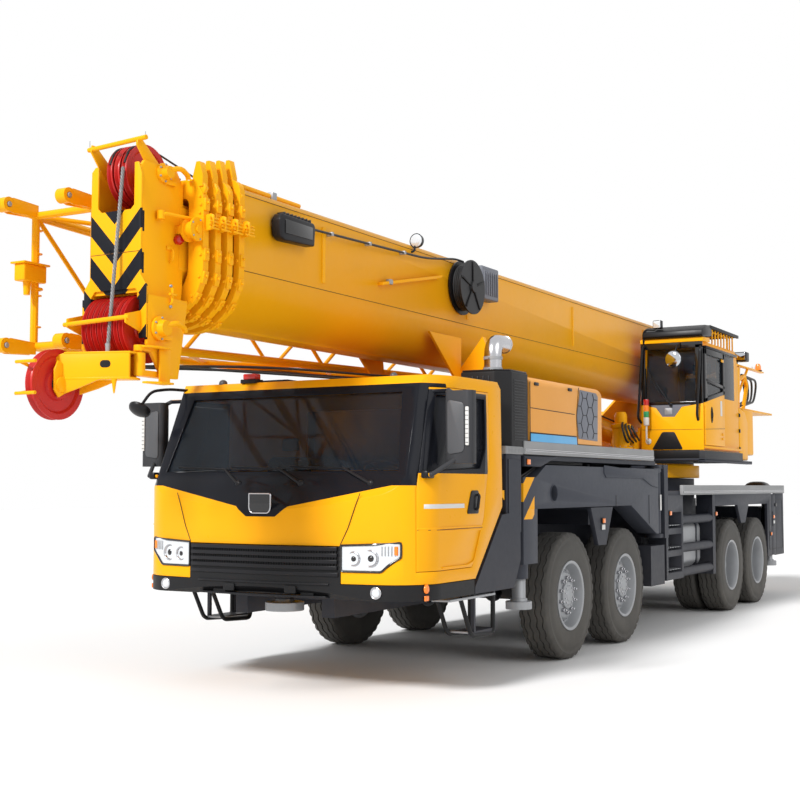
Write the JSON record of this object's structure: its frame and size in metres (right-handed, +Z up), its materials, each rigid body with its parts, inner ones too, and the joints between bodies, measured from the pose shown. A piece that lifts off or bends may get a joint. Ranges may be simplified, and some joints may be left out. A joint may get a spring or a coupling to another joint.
{
  "type": "mobile crane",
  "caption": "Truck-mounted mobile crane with a telescopic boom, lattice fly jib, slewing upper works, driving cab and outriggers.",
  "frame": {"origin": "On the ground, under the middle of the whole crane as it parks with its boom forward.", "axes": "+X forward, +Y to the driver's left, +Z up."},
  "size_m": [14.47, 3.32, 4.0699],
  "materials": {
    "crane_yellow": "gloss",
    "carrier_grey": "satin",
    "bright_metal": "brushed",
    "chrome": "polished",
    "cast_iron": "rough",
    "sheave_red": "satin",
    "black_trim": "matte",
    "lamp": "clear",
    "seat_fabric": "woven",
    "glass": "tinted",
    "tyre": "matte"
  },
  "bodies": {
    "carrier": {"chassis_frame": "carrier_grey", "axles": "carrier_grey", "deck_plates": "carrier_grey", "mudguards": "carrier_grey", "side_guards": "carrier_grey", "fuel_tanks": "bright_metal", "deck_rails": "bright_metal", "engine_block": "cast_iron", "engine_hood": "crane_yellow", "intake_columns": "black_trim", "exhaust_pipe": "chrome", "boom_rest": "crane_yellow", "cab_shell": "crane_yellow", "cab_glass": "glass", "cab_bumper": "black_trim", "cab_lamps": "lamp", "cab_interior": "seat_fabric"},
    "nose_leg": {"nose_jack": "bright_metal"},
    "upper_works": {"upper_frame": "crane_yellow", "counterweight": "crane_yellow", "crane_cab_shell": "crane_yellow", "crane_cab_glass": "glass", "crane_cab_interior": "seat_fabric"},
    "crane_door": {"crane_cab_door": "crane_yellow"},
    "main_winch": {"main_winch_drum": "bright_metal"},
    "aux_winch": {"aux_winch_drum": "bright_metal"},
    "ram_barrel": {"ram_barrel": "crane_yellow"},
    "ram_rod": {"ram_rod": "chrome"},
    "boom": {"boom_base": "crane_yellow", "fly_jib": "crane_yellow"},
    "head_sheaves_upper": {"upper_sheaves": "sheave_red"},
    "head_sheaves_lower": {"lower_sheaves": "sheave_red"},
    "nose_arm": {"nose_arm": "crane_yellow"},
    "nose_sheave": {"nose_sheave": "sheave_red"},
    "door_left": {"cab_door_left": "crane_yellow"},
    "arm_left": {"swing_arm_left": "carrier_grey"},
    "front_leg_left": {"front_jack_left": "bright_metal"},
    "beam_left": {"rear_beam_left": "carrier_grey"},
    "rear_leg_left": {"rear_jack_left": "bright_metal"},
    "door_right": {"cab_door_right": "crane_yellow"},
    "arm_right": {"swing_arm_right": "carrier_grey"},
    "front_leg_right": {"front_jack_right": "bright_metal"},
    "beam_right": {"rear_beam_right": "carrier_grey"},
    "rear_leg_right": {"rear_jack_right": "bright_metal"},
    "knuckle_1_left": {"knuckle_1_left": "cast_iron"},
    "knuckle_1_right": {"knuckle_1_right": "cast_iron"},
    "knuckle_2_left": {"knuckle_2_left": "cast_iron"},
    "knuckle_2_right": {"knuckle_2_right": "cast_iron"},
    "wheel_1_left": {"wheel_1_left": "tyre"},
    "wheel_1_right": {"wheel_1_right": "tyre"},
    "wheel_2_left": {"wheel_2_left": "tyre"},
    "wheel_2_right": {"wheel_2_right": "tyre"},
    "wheel_3_left": {"wheel_3_left": "tyre"},
    "wheel_3_right": {"wheel_3_right": "tyre"},
    "wheel_4_left": {"wheel_4_left": "tyre"},
    "wheel_4_right": {"wheel_4_right": "tyre"},
    "section_1": {"boom_section_1": "crane_yellow"},
    "section_2": {"boom_section_2": "crane_yellow"},
    "section_3": {"boom_section_3": "crane_yellow"},
    "section_4": {"boom_section_4": "crane_yellow"}
  },
  "joints": [
    {"name": "nose_jack_slide", "type": "slide", "parent": "carrier", "child": "nose_leg", "axis": [0, 0, -1], "range_m": [0, 0.66]},
    {"name": "door_left_hinge", "type": "hinge", "parent": "carrier", "child": "door_left", "pos_m": [4.723, 1.296, 1.7], "axis": [0, 0, -1], "range_deg": [0, 70]},
    {"name": "arm_left_swing", "type": "hinge", "parent": "carrier", "child": "arm_left", "pos_m": [-0.925, 1.275, 1.5], "axis": [0, 0, 1], "range_deg": [0, 62]},
    {"name": "front_jack_left_slide", "type": "slide", "parent": "arm_left", "child": "front_leg_left", "axis": [0, 0, -1], "range_m": [0, 0.6]},
    {"name": "beam_left_slide", "type": "slide", "parent": "carrier", "child": "beam_left", "axis": [0, 1, 0], "range_m": [0, 1.85]},
    {"name": "rear_jack_left_slide", "type": "slide", "parent": "beam_left", "child": "rear_leg_left", "axis": [0, 0, -1], "range_m": [0, 0.51]},
    {"name": "door_right_hinge", "type": "hinge", "parent": "carrier", "child": "door_right", "pos_m": [4.723, -1.296, 1.7], "axis": [0, 0, 1], "range_deg": [0, 70]},
    {"name": "arm_right_swing", "type": "hinge", "parent": "carrier", "child": "arm_right", "pos_m": [-0.925, -1.275, 1.5], "axis": [0, 0, -1], "range_deg": [0, 62]},
    {"name": "front_jack_right_slide", "type": "slide", "parent": "arm_right", "child": "front_leg_right", "axis": [0, 0, -1], "range_m": [0, 0.6]},
    {"name": "beam_right_slide", "type": "slide", "parent": "carrier", "child": "beam_right", "axis": [0, -1, 0], "range_m": [0, 1.85]},
    {"name": "rear_jack_right_slide", "type": "slide", "parent": "beam_right", "child": "rear_leg_right", "axis": [0, 0, -1], "range_m": [0, 0.51]},
    {"name": "steer_1_left", "type": "hinge", "parent": "carrier", "child": "knuckle_1_left", "pos_m": [1.715, 0.985, 0.605], "axis": [0, 0, 1], "range_deg": [-35, 35]},
    {"name": "steer_1_right", "type": "hinge", "parent": "carrier", "child": "knuckle_1_right", "pos_m": [1.715, -0.985, 0.605], "axis": [0, 0, 1], "range_deg": [-35, 35]},
    {"name": "steer_2_left", "type": "hinge", "parent": "carrier", "child": "knuckle_2_left", "pos_m": [0.195, 0.985, 0.605], "axis": [0, 0, 1], "range_deg": [-24.5, 24.5]},
    {"name": "steer_2_right", "type": "hinge", "parent": "carrier", "child": "knuckle_2_right", "pos_m": [0.195, -0.985, 0.605], "axis": [0, 0, 1], "range_deg": [-24.5, 24.5]},
    {"name": "wheel_1_left_spin", "type": "hinge", "parent": "knuckle_1_left", "child": "wheel_1_left", "pos_m": [1.715, 1.19, 0.605], "axis": [0, 1, 0], "continuous": true},
    {"name": "wheel_1_right_spin", "type": "hinge", "parent": "knuckle_1_right", "child": "wheel_1_right", "pos_m": [1.715, -1.19, 0.605], "axis": [0, 1, 0], "continuous": true},
    {"name": "wheel_2_left_spin", "type": "hinge", "parent": "knuckle_2_left", "child": "wheel_2_left", "pos_m": [0.195, 1.19, 0.605], "axis": [0, 1, 0], "continuous": true},
    {"name": "wheel_2_right_spin", "type": "hinge", "parent": "knuckle_2_right", "child": "wheel_2_right", "pos_m": [0.195, -1.19, 0.605], "axis": [0, 1, 0], "continuous": true},
    {"name": "wheel_3_left_spin", "type": "hinge", "parent": "carrier", "child": "wheel_3_left", "pos_m": [-3.905, 1.038, 0.605], "axis": [0, 1, 0], "continuous": true},
    {"name": "wheel_3_right_spin", "type": "hinge", "parent": "carrier", "child": "wheel_3_right", "pos_m": [-3.905, -1.038, 0.605], "axis": [0, 1, 0], "continuous": true},
    {"name": "wheel_4_left_spin", "type": "hinge", "parent": "carrier", "child": "wheel_4_left", "pos_m": [-5.255, 1.038, 0.605], "axis": [0, 1, 0], "continuous": true},
    {"name": "wheel_4_right_spin", "type": "hinge", "parent": "carrier", "child": "wheel_4_right", "pos_m": [-5.255, -1.038, 0.605], "axis": [0, 1, 0], "continuous": true},
    {"name": "slew", "type": "hinge", "parent": "carrier", "child": "upper_works", "pos_m": [-3.435, 0, 1.93], "axis": [0, 0, 1], "continuous": true},
    {"name": "crane_door_slide", "type": "slide", "parent": "upper_works", "child": "crane_door", "axis": [-1, 0, 0], "range_m": [0, 0.75]},
    {"name": "main_winch_spin", "type": "hinge", "parent": "upper_works", "child": "main_winch", "pos_m": [-6.195, 0, 3.15], "axis": [0, 1, 0], "continuous": true},
    {"name": "aux_winch_spin", "type": "hinge", "parent": "upper_works", "child": "aux_winch", "pos_m": [-6.825, 0, 3.15], "axis": [0, 1, 0], "continuous": true},
    {"name": "luff", "type": "hinge", "parent": "upper_works", "child": "boom", "pos_m": [-5.585, 0, 3.44], "axis": [0, -1, 0], "range_deg": [0, 80]},
    {"name": "ram_foot", "type": "hinge", "parent": "upper_works", "child": "ram_barrel", "pos_m": [-3.715, 0, 2.29], "axis": [0, -1, 0], "range_deg": [0, 85.46]},
    {"name": "ram_stroke", "type": "slide", "parent": "ram_barrel", "child": "ram_rod", "axis": [0.9946, 0, 0.1039], "range_m": [0, 2.7868]},
    {"name": "telescope_1", "type": "slide", "parent": "boom", "child": "section_1", "axis": [1, 0, 0], "range_m": [0, 8.75]},
    {"name": "telescope_2", "type": "slide", "parent": "section_1", "child": "section_2", "axis": [1, 0, 0], "range_m": [0, 8.75]},
    {"name": "telescope_3", "type": "slide", "parent": "section_2", "child": "section_3", "axis": [1, 0, 0], "range_m": [0, 8.75]},
    {"name": "telescope_4", "type": "slide", "parent": "section_3", "child": "section_4", "axis": [1, 0, 0], "range_m": [0, 8.75]},
    {"name": "upper_sheaves_spin", "type": "hinge", "parent": "section_4", "child": "head_sheaves_upper", "pos_m": [6.46, 0, 3.85], "axis": [0, 1, 0], "continuous": true},
    {"name": "lower_sheaves_spin", "type": "hinge", "parent": "section_4", "child": "head_sheaves_lower", "pos_m": [6.565, 0, 2.74], "axis": [0, 1, 0], "continuous": true},
    {"name": "nose_arm_fold", "type": "hinge", "parent": "section_4", "child": "nose_arm", "pos_m": [6.715, 0.262, 2.5], "axis": [0, 0, 1], "range_deg": [0, 120]},
    {"name": "nose_sheave_spin", "type": "hinge", "parent": "nose_arm", "child": "nose_sheave", "pos_m": [6.995, -0.235, 2.34], "axis": [0, 1, 0], "continuous": true}
  ],
  "couplings": [
    {"joint": "steer_1_right", "follows": "steer_1_left", "ratio": 1},
    {"joint": "steer_2_left", "follows": "steer_1_left", "ratio": 0.7},
    {"joint": "steer_2_right", "follows": "steer_1_left", "ratio": 0.7},
    {"joint": "ram_foot", "follows": "luff", "ratio": 1.0658},
    {"joint": "ram_stroke", "follows": "luff", "m_per_rad": 1.9938},
    {"joint": "telescope_2", "follows": "telescope_1", "ratio": 1},
    {"joint": "telescope_3", "follows": "telescope_1", "ratio": 1},
    {"joint": "telescope_4", "follows": "telescope_1", "ratio": 1}
  ]
}
